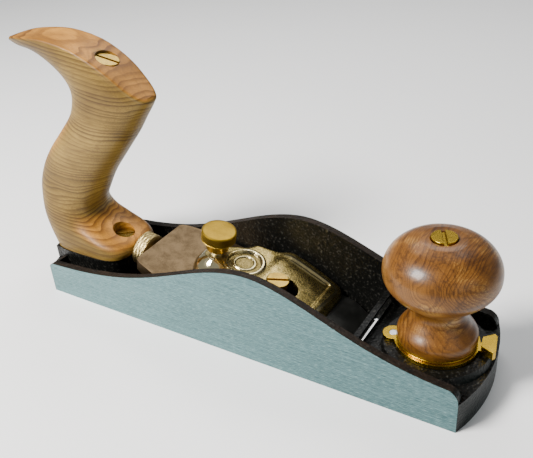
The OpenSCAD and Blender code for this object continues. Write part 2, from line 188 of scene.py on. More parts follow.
class Graph:
    """The node tree of one material."""

    def __init__(self, name: str) -> None:
        """Makes an empty material with its output and its main shader."""
        self.material = bpy.data.materials.new(name)
        self.material.use_nodes = True
        self.tree = self.material.node_tree
        self.tree.nodes.clear()
        self.shader = self.node("ShaderNodeBsdfPrincipled")
        output = self.node("ShaderNodeOutputMaterial")
        self.tree.links.new(self.shader.outputs[0], output.inputs["Surface"])

    def node(self, kind: str, settings: dict | None = None, inputs: dict | None = None) -> bpy.types.Node:
        """Adds any node.

        Args:
            kind: the node's type.
            settings: its own properties, set first.
            inputs: sockets by name or number, each a link, a Value or a constant.

        Returns:
            The new node.
        """
        made = self.tree.nodes.new(kind)
        for key, setting in (settings or {}).items():
            setattr(made, key, setting)
        for key, given in (inputs or {}).items():
            self.feed(made.inputs[key], given)
        return made

    def feed(self, socket: bpy.types.NodeSocket, given: object) -> None:
        """Links or sets one input socket."""
        if isinstance(given, Value):
            self.tree.links.new(given.socket, socket)
        elif isinstance(given, bpy.types.NodeSocket):
            self.tree.links.new(given, socket)
        elif socket.type == "RGBA" and len(given) == 3:
            socket.default_value = (*given, 1.0)
        else:
            socket.default_value = given

    def place(
        self, scale: Triple = (1, 1, 1), at: Triple = (0, 0, 0), turn: Triple = (0, 0, 0)
    ) -> bpy.types.NodeSocket:
        """Object coordinates in millimetres, moved, turned and then scaled.

        Args:
            scale: pattern units for each millimetre along each axis.
            at: the point, in millimetres, that becomes the pattern's origin.
            turn: turn about X, Y and Z, in degrees.

        Returns:
            The pattern's coordinates.
        """
        source = self.node("ShaderNodeTexCoord").outputs["Object"]
        moved = self.node(
            "ShaderNodeMapping", {"vector_type": "POINT"},
            {"Vector": source, "Scale": (1 / MM,) * 3, "Location": tuple(-v for v in at)},
        )
        turned = self.node(
            "ShaderNodeMapping", {"vector_type": "POINT"},
            {"Vector": moved.outputs[0], "Rotation": tuple(math.radians(v) for v in turn)},
        )
        return self.node(
            "ShaderNodeMapping", {"vector_type": "POINT"}, {"Vector": turned.outputs[0], "Scale": scale}
        ).outputs[0]

    def split(self, vector: bpy.types.NodeSocket) -> tuple[Value, Value, Value]:
        """The three parts of a vector."""
        parts = self.node("ShaderNodeSeparateXYZ", None, {0: vector})
        return tuple(Value(self, out) for out in parts.outputs)

    def join(self, x: "Value | float", y: "Value | float", z: "Value | float") -> bpy.types.NodeSocket:
        """A vector from three parts."""
        return self.node("ShaderNodeCombineXYZ", None, {0: x, 1: y, 2: z}).outputs[0]

    def noise(
        self, vector: bpy.types.NodeSocket, detail: float = 3.0, rough: float = 0.5, twist: float = 0.0
    ) -> Value:
        """Smooth noise.

        Args:
            vector: coordinates, with one cell for each unit.
            detail: number of finer layers laid over the first.
            rough: strength of each layer against the one before it.
            twist: how far the coordinates are bent.

        Returns:
            The noise, from 0 to 1.
        """
        inputs = {"Vector": vector, "Scale": 1.0, "Detail": detail, "Roughness": rough, "Distortion": twist}
        return Value(self, self.node("ShaderNodeTexNoise", None, inputs).outputs[0])

    def cells(self, vector: bpy.types.NodeSocket) -> Value:
        """Distance to the nearest of scattered points, one for each unit."""
        made = self.node("ShaderNodeTexVoronoi", None, {"Vector": vector, "Scale": 1.0})
        return Value(self, made.outputs[0])

    def mix(
        self, factor: "Value | float", a: object, b: object, blend: str = "MIX"
    ) -> bpy.types.NodeSocket:
        """Mixes two colours.

        Args:
            factor: share of the second colour.
            a: first colour or link.
            b: second colour or link.
            blend: blend mode.

        Returns:
            The mixed colour.
        """
        made = self.node("ShaderNodeMix", {"data_type": "RGBA", "blend_type": blend, "clamp_factor": True})
        self.feed(made.inputs[0], factor)
        self.feed(made.inputs[6], a)
        self.feed(made.inputs[7], b)
        return made.outputs[2]

    def ramp(self, value: Value, stops: Stops) -> bpy.types.NodeSocket:
        """Colour that runs through the given stops as value goes from 0 to 1."""
        made = self.node("ShaderNodeValToRGB", None, {0: value})
        points = made.color_ramp.elements
        while len(points) < len(stops):
            points.new(0.5)
        for point, (spot, colour) in zip(points, stops):
            point.position = spot
            point.color = (*colour, 1.0)
        return made.outputs[0]

    def mask(self, name: str) -> Value:
        """A number painted on the mesh's own vertices or faces."""
        return Value(self, self.node("ShaderNodeAttribute", {"attribute_name": name}).outputs["Fac"])

    def bump(self, height: Value, deep: float, strength: float) -> bpy.types.NodeSocket:
        """Relief from a height.

        Args:
            height: the height, from 0 to 1.
            deep: depth of the relief in millimetres.
            strength: share of the relief that is used.

        Returns:
            The bent normal.
        """
        inputs = {"Height": height, "Distance": deep * MM, "Strength": strength}
        return self.node("ShaderNodeBump", None, inputs).outputs[0]

    def dress(self, **sockets: object) -> bpy.types.Material:
        """Feeds the main shader by socket name, with _ for a space, and gives the material."""
        for key, given in sockets.items():
            self.feed(self.shader.inputs[key.replace("_", " ")], given)
        return self.material


# ---------------------------------------------------------------- finishes


@dataclass(frozen=True)
class CastingFinish:
    """Black enamel over cast iron, with ground and brushed cheeks and sole.

    half_width and reach are the casting's half width and half length in
    millimetres; peel_deep and scratch_deep are depths of relief.
    """

    half_width: float
    reach: float
    enamel: Colour = (0.0035, 0.0036, 0.0032)
    enamel_glint: Colour = (0.032, 0.031, 0.027)
    # Painted reflections: a brown tint for the cheeks' upper edges, and a darker green tint for the ends
    edge_reflection: Colour = (0.022, 0.014, 0.009)
    end_reflection: Colour = (0.0004, 0.0030, 0.0022)
    ground_dark: Colour = (0.022, 0.060, 0.064)
    ground_light: Colour = (0.20, 0.335, 0.345)
    glint: Colour = (0.42, 0.55, 0.50)
    peel_deep: float = 0.55
    scratch_deep: float = 0.03

    def material(self) -> bpy.types.Material:
        """Builds the finish.

        Returns:
            A material whose ground areas are found from their place: at full
            half width, or on the sole. Its masks are top, the upper edge of the
            cheeks, which carries a painted brown reflection, and end, the
            enamelled ends of the casting, which carry a darker painted green
            reflection.
        """
        g = Graph("casting_finish")
        x, y, z = g.split(g.place())
        ragged = g.noise(g.place((0.35, 0.35, 0.35)), 4.0, 0.6)
        cheek = (abs(y) + ragged * 0.16).ease(self.half_width - 0.10, self.half_width + 0.02)
        sole = (z * -1.0).ease(-0.18, -0.06)
        ground = cheek.most(sole)
        long = g.noise(g.place((0.05, 3.0, 2.2)), 4.0, 0.65)
        fleck = g.noise(g.place((0.34, 4.0, 4.2), turn=(0, 6, 0)), 3.0, 0.6, 0.15)
        hair = g.noise(g.place((0.12, 9.0, 8.0)), 2.0, 0.7)
        broad = g.noise(g.place((0.012, 0.03, 0.03)), 2.0)
        scratch = long * 0.28 + fleck * 0.42 + hair * 0.30
        # Painted light: the ground steel is made lighter towards the heel and darker towards the toe
        painted_light_falloff = x.ease(-self.reach, self.reach, 0.24, -0.08)
        tone = scratch.ease(0.34, 0.66) * 0.80 + broad * 0.20 + painted_light_falloff
        steel = g.mix(tone, self.ground_dark, self.ground_light)
        steel = g.mix(fleck.ease(0.54, 0.74) * 0.42, steel, self.glint)
        peel = g.noise(g.place((0.75, 0.75, 0.75)), 3.0, 0.55)
        pits = g.cells(g.place((0.62, 0.62, 0.62)))
        top = g.mask("top")
        reflection_breakup = g.noise(g.place((0.12, 0.5, 0.5)), 5.0, 0.62)
        paint = g.mix(peel.ease(0.57, 0.68), self.enamel, self.enamel_glint)
        # Painted reflection: the cheeks' upper edges take a brown tint, broken up by noise
        paint = g.mix(top * reflection_breakup.ease(0.2, 0.8), paint, self.edge_reflection)
        # Painted reflection: the ends of the casting take a darker, green-tinted black
        paint = g.mix(g.mask("end"), paint, self.end_reflection)
        colour = g.mix(ground, paint, steel)
        enamel_height = peel * 0.6 + pits * 0.4
        height = (1 - ground) * enamel_height * self.peel_deep + ground * scratch * self.scratch_deep
        return g.dress(
            Base_Color=colour,
            Metallic=ground,
            Roughness=(1 - ground) * (peel * 0.20 + 0.24 + top * 0.26)
            + ground * (scratch * 0.22 + 0.30),
            Normal=g.bump(height, 1.0, 0.9),
            Specular_IOR_Level=0.15,
        )


@dataclass(frozen=True)
class MetalFinish:
    """Turned, rolled or cut metal with fine tool marks and a little tarnish.

    axis_at and axis_turn place the axis that the marks run round, and lay
    stretches them where there is no axis. marks is their depth; the groove
    colour paints shade into the knurl's grooves, and the tip colour paints
    a reflection on the metal past its start along the plane, over its fade.
    """

    name: str
    bright: Colour
    dull: Colour
    rough: float = 0.24
    axis_at: Triple | None = None
    axis_turn: Triple = (0, 0, 0)
    marks: float = 0.02
    tarnish: float = 0.5
    lay: Triple = (0.4, 6.0, 6.0)
    # Painted shade: the colour laid into the knurl's grooves
    groove_shade: Colour = (0.040, 0.026, 0.008)
    # Painted reflection: a colour laid on the metal past a place along the plane, with a fade
    tip_reflection: Colour | None = None
    tip_reflection_from: float = 0.0
    tip_reflection_fade: float = 3.0

    def material(self) -> bpy.types.Material:
        """Builds the finish.

        Returns:
            A material whose marks run round the axis if it is given, and else
            run along the piece.
        """
        g = Graph(self.name)
        cloud = g.noise(g.place((0.16, 0.16, 0.16)), 5.0, 0.6)
        speck = g.noise(g.place((1.7, 1.7, 1.7)), 2.0, 0.6)
        if self.axis_at is None:
            lines = g.noise(g.place(self.lay), 3.0, 0.6)
        else:
            x, y, _ = g.split(g.place(at=self.axis_at, turn=self.axis_turn))
            reach = (x * x + y * y).root()
            lines = g.noise(g.join(reach * 5.0, 0.0, 0.0), 2.0, 0.7)
        stain = (cloud * 0.7 + speck * 0.3).ease(0.38, 0.66) * self.tarnish
        colour = g.mix(stain, self.bright, self.dull)
        # Painted shade: the knurl's grooves are darkened by the groove mask
        colour = g.mix(g.mask("groove") * 0.85, colour, self.groove_shade)
        # Painted reflection: past its start along the plane the metal takes the reflected colour
        if self.tip_reflection is not None:
            along, _, _ = g.split(g.place())
            colour = g.mix(along.ease(self.tip_reflection_from, self.tip_reflection_from + self.tip_reflection_fade), colour, self.tip_reflection)
        return g.dress(
            Base_Color=colour,
            Metallic=1.0,
            Roughness=stain * 0.14 + lines * 0.10 + (self.rough - 0.05),
            Normal=g.bump(lines * 0.8 + speck * 0.2, self.marks, 0.7),
        )


@dataclass(frozen=True)
class BronzeFinish:
    """Sand-cast bronze, darker in its round dish, with painted shade along its sunk panel's edge and under
    the cap, and polished along its edges.
    """

    toned: Colour = (0.30, 0.225, 0.065)
    light: Colour = (0.66, 0.50, 0.18)
    dark: Colour = (0.055, 0.040, 0.014)
    polished: Colour = (0.92, 0.80, 0.48)

    def material(self) -> bpy.types.Material:
        """Builds the finish, which reads the painted masks polish and hollow."""
        g = Graph("bronze_finish")
        polish = g.mask("polish")
        hollow = g.mask("hollow")
        cloud = g.noise(g.place((0.22, 0.22, 0.22)), 5.0, 0.6)
        grit = g.noise(g.place((1.9, 1.9, 1.9)), 3.0, 0.65)
        pits = g.cells(g.place((1.1, 1.1, 1.1)))
        colour = g.mix(cloud.ease(0.3, 0.7), self.toned, self.light)
        # The hollow mask darkens the round dish, and paints shade along the sunk panel's edge and under the
        # cap
        colour = g.mix(hollow * (grit * 0.5 + 0.55), colour, self.dark)
        colour = g.mix((grit.ease(0.55, 0.75)) * 0.35, colour, self.light)
        colour = g.mix(polish, colour, self.polished)
        buffed = g.noise(g.place((0.7, 3.0, 3.0)), 2.0)
        height = (1 - polish) * (grit * 0.15 + pits * 0.08) + polish * buffed * 0.01
        return g.dress(
            Base_Color=colour,
            Metallic=1.0,
            Roughness=(1 - polish) * (grit * 0.30 + 0.12) + polish * 0.10,
            Normal=g.bump(height, 1.0, 0.8),
        )


@dataclass(frozen=True)
class WoodFinish:
    """Oiled hardwood: growth layers, fibres and pores, cut through by the shape.

    heart and lie place the axis of the tree, in millimetres and degrees.
    layer is the mean width of a growth layer and sway how far it wanders.
    bands, veins and mottle set the dark late wood, the dark veins and the
    size of broad patches. The facing tint and its share paint light and
    shade on the faces that look up.
    """

    name: str
    stops: Stops
    heart: Triple
    lie: Triple
    layer: float
    sway: float
    # Painted light and shade: the tint multiplied into faces that look up, and its share
    facing_light_tint: Colour
    facing_light_share: float
    vein: Colour
    veins: float
    bands: float
    mottle: float
    rough: float
    coat: float
    soot: Colour = (0.25, 0.2, 0.15)
    relief: float = 0.05

    def material(self) -> bpy.types.Material:
        """Builds the finish.

        Returns:
            A material whose layers are shells about a far axis, bent by slow
            noise, with dark late wood at the end of each layer, long fibres
            and short dark pores along the axis, and painted light tinting the
            faces where the mask upward is 1.
        """
        g = Graph(self.name)
        x, y, z = g.split(g.place(at=self.heart, turn=self.lie))
        slow = g.noise(g.join(x * 0.010, y * 0.035, z * 0.035), 2.0, 0.5, 0.4)
        mid = g.noise(g.join(x * 0.03, y * 0.09, z * 0.09), 1.0, 0.5)
        far = (y * y + z * z).root() + (slow - 0.5) * self.sway + (mid - 0.5) * (self.sway * 0.10)
        pace = far / self.layer
        uneven = pace + (g.noise(g.join(pace * 0.31, 0.0, 0.0), 2.0) - 0.5) * 2.6
        step = uneven.fract()
        late = step.ease(0.10, 0.92) ** 2.2 * (1 - step.ease(0.93, 1.0))
        strength = g.noise(g.join(pace * 0.23, 7.3, 0.0), 2.0).ease(0.30, 0.68)
        fibre = g.noise(g.join(x * 0.05, y * 2.6, z * 2.6), 4.0, 0.65)
        fine = g.noise(g.join(x * 0.22, y * 7.0, z * 7.0), 2.0, 0.6)
        pores = g.noise(g.join(x * 0.16, y * 3.6, z * 3.6), 1.0, 0.4).ease(0.64, 0.74)
        broad = g.noise(g.place((self.mottle * 0.6, self.mottle, self.mottle)), 3.0, 0.5)
        tone = late * (strength * self.bands + self.bands * 0.3) + fibre * 0.32 + broad * 0.56 - 0.10
        colour = g.ramp(tone, self.stops)
        # Painted light and shade: faces that look up are multiplied by the facing tint, brighter and warmer
        # on the tote, warmer on the knob
        colour = g.mix(g.mask("upward") * self.facing_light_share, colour, self.facing_light_tint, "MULTIPLY")
        lines = (g.noise(g.join(x * 0.012, y * 0.05, z * 0.05), 4.0, 0.6, 1.1) - 0.5)
        dark = (1 - (abs(lines) * 26.0).least(1.0)) ** 1.5
        colour = g.mix(dark * self.veins * (fibre * 0.8 + 0.4), colour, self.vein)
        colour = g.mix(pores * 0.42, colour, self.vein)
        colour = g.mix(fine.ease(0.35, 0.7) * 0.16, colour, self.soot, "MULTIPLY")
        height = fibre * 0.45 + fine * 0.25 - pores * 0.6 + late * 0.15
        return g.dress(
            Base_Color=colour,
            Roughness=(fibre * 0.12 + pores * 0.15 + self.rough),
            Normal=g.bump(height, self.relief, 0.6),
            Coat_Weight=self.coat,
            Coat_Roughness=0.12,
            Specular_IOR_Level=0.26,
        )


# ---------------------------------------------------------------- surfaces


def curve(place: np.ndarray, knots: Knots) -> np.ndarray:
    """Smooth curve through knots.

    Each stretch is a cubic whose slope at a knot is the slope of the chord
    between the knots on either side.

    Args:
        place: where the curve is wanted.
        knots: pairs of place and value, in order of place.

    Returns:
        The values there.
    """
    px, pv = np.array(knots, float).T
    lower = np.r_[0, np.arange(len(px) - 1)]
    upper = np.r_[np.arange(1, len(px)), len(px) - 1]
    slope = (pv[upper] - pv[lower]) / (px[upper] - px[lower])
    i = np.clip(np.searchsorted(px, place, side="right") - 1, 0, len(px) - 2)
    gap = px[i + 1] - px[i]
    u = (np.asarray(place, float) - px[i]) / gap
    a, b, rise = slope[i] * gap, slope[i + 1] * gap, pv[i + 1] - pv[i]
    return pv[i] + u * (a + u * (3 * rise - 2 * a - b + u * (a + b - 2 * rise)))


def ease(value: np.ndarray, low: float, high: float) -> np.ndarray:
    """Smooth step from 0 at low to 1 at high: 3t^2 - 2t^3 of the clamped share."""
    t = np.clip((value - low) / (high - low), 0.0, 1.0)
    return t * t * (3 - 2 * t)


def oval(angle: np.ndarray, power: np.ndarray) -> tuple[np.ndarray, np.ndarray]:
    """Unit superellipse: cosine and sine, each raised to 2 / power with its sign kept."""
    c, s = np.cos(angle), np.sin(angle)
    return np.sign(c) * np.abs(c) ** (2 / power), np.sign(s) * np.abs(s) ** (2 / power)


def tube_faces(rows: int, around: int) -> np.ndarray:
    """Quads between rings that close on themselves.

    Args:
        rows: number of rings.
        around: vertices in each ring.

    Returns:
        One row of four vertex numbers for each quad.
    """
    r, c = np.meshgrid(np.arange(rows - 1), np.arange(around), indexing="ij")
    n = (c + 1) % around
    here, above = r * around, (r + 1) * around
    return np.stack([here + c, here + n, above + n, above + c], -1).reshape(-1, 4)


def in_place(points: np.ndarray, place: Matrix) -> np.ndarray:
    """Rows of points, turned and then moved by a matrix in millimetres."""
    return points @ np.array(place.to_3x3()).T + np.array(place.translation)


def make_piece(
    name: str, points: np.ndarray, faces: list[list[int]], smooth: float = 35.0,
    masks: dict[str, np.ndarray] | None = None,
) -> bpy.types.Object:
    """Makes a mesh object from points in millimetres.

    Args:
        name: the piece's name.
        points: one row for each vertex.
        faces: vertex numbers of each face.
        smooth: edges sharper than this many degrees stay sharp.
        masks: numbers for each vertex that the finish reads, by name.

    Returns:
        The object, at the origin, with its faces pointing outwards.
    """
    mesh = bpy.data.meshes.new(name)
    mesh.from_pydata((np.asarray(points) * MM).tolist(), [], faces)
    made = bpy.data.objects.new(name, mesh)
    bpy.context.scene.collection.objects.link(made)
    for mask, values in (masks or {}).items():
        paint(made, mask, values)
    tidy_mesh(mesh)
    shade(mesh, smooth)
    return made


def tidy_mesh(mesh: bpy.types.Mesh) -> None:
    """Merges doubled vertices, and turns the faces outwards."""
    shell = bmesh.new()
    shell.from_mesh(mesh)
    bmesh.ops.remove_doubles(shell, verts=shell.verts, dist=SEAM)
    bmesh.ops.recalc_face_normals(shell, faces=shell.faces)
    shell.to_mesh(mesh)
    shell.free()


def shade(mesh: bpy.types.Mesh, smooth: float) -> None:
    """Smooth shading with edges over the given angle left sharp."""
    if "custom_normal" in mesh.attributes:
        mesh.attributes.remove(mesh.attributes["custom_normal"])
    mesh.shade_smooth()
    mesh.set_sharp_from_angle(angle=math.radians(smooth))


def paint(piece: bpy.types.Object, name: str, values: np.ndarray, on: Domain = Domain.VERTEX) -> None:
    """Stores a number on each vertex or face for the finish to read.

    Args:
        piece: the piece to mark.
        name: the mask's name.
        values: one number for each vertex or face.
        on: what the numbers belong to.
    """
    layer = piece.data.attributes.new(name, "FLOAT", on.value)
    layer.data.foreach_set("value", np.asarray(values, np.float32))


def face_facts(piece: bpy.types.Object) -> tuple[np.ndarray, np.ndarray]:
    """The middles, in millimetres, and the outward directions of a piece's faces."""
    count = len(piece.data.polygons)
    middles, normals = np.empty(count * 3, np.float32), np.empty(count * 3, np.float32)
    piece.data.polygons.foreach_get("center", middles)
    piece.data.polygons.foreach_get("normal", normals)
    return middles.reshape(-1, 3) / MM, normals.reshape(-1, 3)


def paint_upward(piece: bpy.types.Object) -> None:
    """Marks how far each vertex faces up: 0 for level or down, 1 for straight up."""
    flat = np.empty(len(piece.data.vertices) * 3, np.float32)
    piece.data.vertices.foreach_get("normal", flat)
    paint(piece, "upward", ease(flat.reshape(-1, 3)[:, 2], 0.25, 0.75))


def carve(piece: bpy.types.Object, cutters: list[bpy.types.Object], smooth: float) -> None:
    """Cuts the cutters out of a piece, and removes them.

    Args:
        piece: the piece to cut.
        cutters: closed meshes.
        smooth: edges sharper than this many degrees stay sharp.
    """
    for cutter in cutters:
        cut = piece.modifiers.new("cut", "BOOLEAN")
        cut.operation = "DIFFERENCE"
        cut.solver = "EXACT"
        cut.object = cutter
    done = bpy.data.meshes.new_from_object(piece.evaluated_get(bpy.context.evaluated_depsgraph_get()))
    piece.modifiers.clear()
    piece.data = done
    done.name = piece.name
    for cutter in cutters:
        bpy.data.objects.remove(cutter)
    shade(done, smooth)


def round_bar(radius: float, low: float, high: float, place: Matrix, around: int = 64) -> bpy.types.Object:
    """A plain round cutter along its own Z.

    Args:
        radius: its radius in millimetres.
        low: height of its lower end.
        high: height of its upper end.
        place: matrix in millimetres that puts it in place.
        around: number of flats.

    Returns:
        The cutter.
    """
    angle = np.linspace(0, 2 * np.pi, around, endpoint=False)
    ring = np.stack([radius * np.cos(angle), radius * np.sin(angle)], -1)
    points = np.concatenate([np.c_[ring, np.full(around, low)], np.c_[ring, np.full(around, high)]])
    faces = tube_faces(2, around).tolist() + [list(range(around))[::-1], list(range(around, 2 * around))]
    return make_piece("cutter", in_place(points, place), faces)


def cad_copy(node: str, name: str, width: float) -> bpy.types.Object:
    """A merged copy of a frame node with rounded edges.

    Args:
        node: the node that the piece stands for.
        name: the piece's name.
        width: width of the rounding in millimetres.

    Returns:
        The new piece.
    """
    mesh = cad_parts[node].data.copy()
    mesh.name = name
    mesh.materials.clear()
    shell = bmesh.new()
    shell.from_mesh(mesh)
    bmesh.ops.remove_doubles(shell, verts=shell.verts, dist=NODE_SEAM)
    bmesh.ops.dissolve_limit(
        shell, angle_limit=math.radians(FLAT_ANGLE), verts=shell.verts, edges=shell.edges
    )
    shell.to_mesh(mesh)
    shell.free()
    shade(mesh, COPY_SHARP)
    piece = bpy.data.objects.new(name, mesh)
    bpy.context.scene.collection.objects.link(piece)
    edge = piece.modifiers.new("edge", "BEVEL")
    edge.width = width * MM
    edge.segments = ROUND_STEPS
    edge.limit_method = "ANGLE"
    edge.angle_limit = math.radians(ROUND_ANGLE)
    edge.harden_normals = True
    return piece


def settle(piece: bpy.types.Object, body: Body, node: str, finish: bpy.types.Material) -> None:
    """Dresses a piece, and fixes it to its body in the frame.

    Args:
        piece: the finished piece.
        body: the body that carries it.
        node: the frame node that it stands for.
        finish: the material.
    """
    piece.data.materials.clear()
    piece.data.materials.append(finish)
    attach(piece, body.value)
    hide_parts(node)
    LOG.info("%s rides on %s: %d faces", piece.name, body.value, len(piece.data.polygons))


def settle_copy(
    node: str, name: str, width: float, body: Body, finish: bpy.types.Material
) -> None:
    """Makes, dresses and fixes a copy of a frame node with rounded edges.

    Args:
        node: the node that the piece stands for.
        name: the piece's name.
        width: width of the rounding in millimetres.
        body: the body that carries it.
        finish: the material.
    """
    settle(cad_copy(node, name, width), body, node, finish)


def middle(node: str) -> Vector:
    """Middle of a frame node's box, in millimetres."""
    low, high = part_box(node)
    return (Vector(low) + Vector(high)) / 2 / MM


def span(node: str, axis: int) -> tuple[float, float]:
    """Lowest and highest reach of a frame node along an axis, in millimetres."""
    low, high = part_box(node)
    return low[axis] / MM, high[axis] / MM


@dataclass(frozen=True)
class Bed:
    """The frame of the bed: x runs down the slope to the edge, z stands square to it."""

    edge: float
    slope: float = 12.0

    def matrix(self) -> Matrix:
        """Turns bed places into plane places, in millimetres."""
        return Matrix.Translation((self.edge, 0, 0)) @ Matrix.Rotation(math.radians(self.slope), 4, "Y")

    def at(self, along: float, up: float = 0.0) -> Matrix:
        """Puts a piece drawn about its own Z at a place on the middle of the bed."""
        return self.matrix() @ Matrix.Translation((along, 0, up))


# ---------------------------------------------------------------- sub-assemblies


@dataclass
class Casting:
    """The iron casting and the sliding mouth plate in its sole."""

    edge_round: float = 0.8
    plate_round: float = 0.3
    wall: float = 6.0
    low_wall: float = 14.0
    end_reach: float = 14.0

    def build(self, plate: bpy.types.Material) -> None:
        """Makes and dresses both, marking the tops of the cheeks and the ends of the casting.

        A face is marked top where it looks up within the cheeks' thickness,
        and end where it looks along the plane near the toe or the heel. The
        finish paints a brown reflection on top and a green one on end.

        Args:
            plate: finish of the mouth plate.
        """
        half_width = span("body", 1)[1]
        half_length = span("body", 0)[1]
        casting = cad_copy("body", "plane_casting", self.edge_round)
        where, facing = face_facts(casting)
        on_wall = np.abs(where[:, 1]) > half_width - self.wall
        top = ease(facing[:, 2], 0.5, 0.85) * on_wall * (where[:, 2] > self.low_wall)
        end = ease(np.abs(facing[:, 0]), 0.5, 0.85) * (np.abs(where[:, 0]) > half_length - self.end_reach)
        paint(casting, "top", top, Domain.FACE)
        paint(casting, "end", end, Domain.FACE)
        settle(casting, Body.CASTING, "body", CastingFinish(half_width, half_length).material())
        settle_copy(
            "mouth_plate", "sliding_mouth_plate", self.plate_round, Body.MOUTH_PLATE, plate
        )


@dataclass
class Mouth:
    """The brass lever under the front knob, and its pivot."""

    lever_round: float = 0.55
    pin_round: float = 0.25

    def build(self, brass: bpy.types.Material, steel: bpy.types.Material) -> None:
        """Makes and dresses the lever and its pin."""
        settle_copy(
            "mouth_lever", "brass_mouth_lever", self.lever_round, Body.MOUTH_LEVER, brass
        )
        settle_copy("lever_pivot_pin", "pivot_pin", self.pin_round, Body.CASTING, steel)


@dataclass
class Knob:
    """The turned front knob with its nut and washer.

    foot, top and axis are the heights of its ends and the place of its axis.
    shape gives the radius, as a share of the widest, at each height above the
    foot on a knob of the drawn height, which is stretched to the real one.
    """

    foot: float
    top: float
    axis: float
    widest: float = 26.0
    nut_hole: float = 5.9
    sink: float = 1.8
    foot_round: tuple[float, float] = (0.6, 0.18)
    foot_lift: float = 0.15
    lip: float = 0.3
    lip_fall: float = 0.9
    nut_round: float = 0.3
    washer_round: float = 0.2
    sharp: float = 50.0
    rings: int = 130
    around: int = 128
    shape: Knots = (
        (0, 0.69), (2.6, 0.71), (5.6, 0.69), (9.8, 0.56), (14.8, 0.445), (18.8, 0.475), (23, 0.65),
        (27.4, 0.84), (31.8, 0.965), (35.9, 1), (41, 0.97), (46, 0.85), (50, 0.645), (52.55, 0.36),
    )

    def build(self, wood: bpy.types.Material) -> None:
        """Turns the knob.

        The radius follows the shape curve up the knob, then runs in over the
        flat top, down into the hole for the nut, and closes at its floor.

        Args:
            wood: finish of the knob.
        """
        rise = np.linspace(0, self.shape[-1][0], self.rings)
        side = self.widest * curve(rise, self.shape)
        climb = self.foot + rise * (self.top - self.foot) / self.shape[-1][0]
        soft = np.array([0.0, 0.25, 0.5])
        floor = self.top - self.sink
        radius = np.r_[
            0.0, side[0] - self.foot_round[0], side[0] - self.foot_round[1], side,
            self.nut_hole + self.lip - soft * 2 * self.lip, self.nut_hole, 0.0,
        ]
        height = np.r_[
            self.foot, self.foot, self.foot + self.foot_lift, climb,
            self.top - soft * self.lip_fall, floor, floor,
        ]
        angle = np.linspace(0, 2 * np.pi, self.around, endpoint=False)
        r = np.repeat(radius[:, None], self.around, 1)
        z = np.repeat(height[:, None], self.around, 1)
        points = np.stack([self.axis + r * np.cos(angle), r * np.sin(angle), z], -1).reshape(-1, 3)
        faces = tube_faces(len(radius), self.around).tolist()
        knob = make_piece("front_knob_wood", points, faces, self.sharp)
        paint_upward(knob)
        settle(knob, Body.FRONT_KNOB, "knob", wood)

    def fittings(self, brass: bpy.types.Material) -> None:
        """Dresses the nut and the washer."""
        settle_copy("knob_nut", "slotted_knob_nut", self.nut_round, Body.FRONT_KNOB, brass)
        settle_copy("knob_washer", "thin_knob_washer", self.washer_round, Body.FRONT_KNOB, brass)


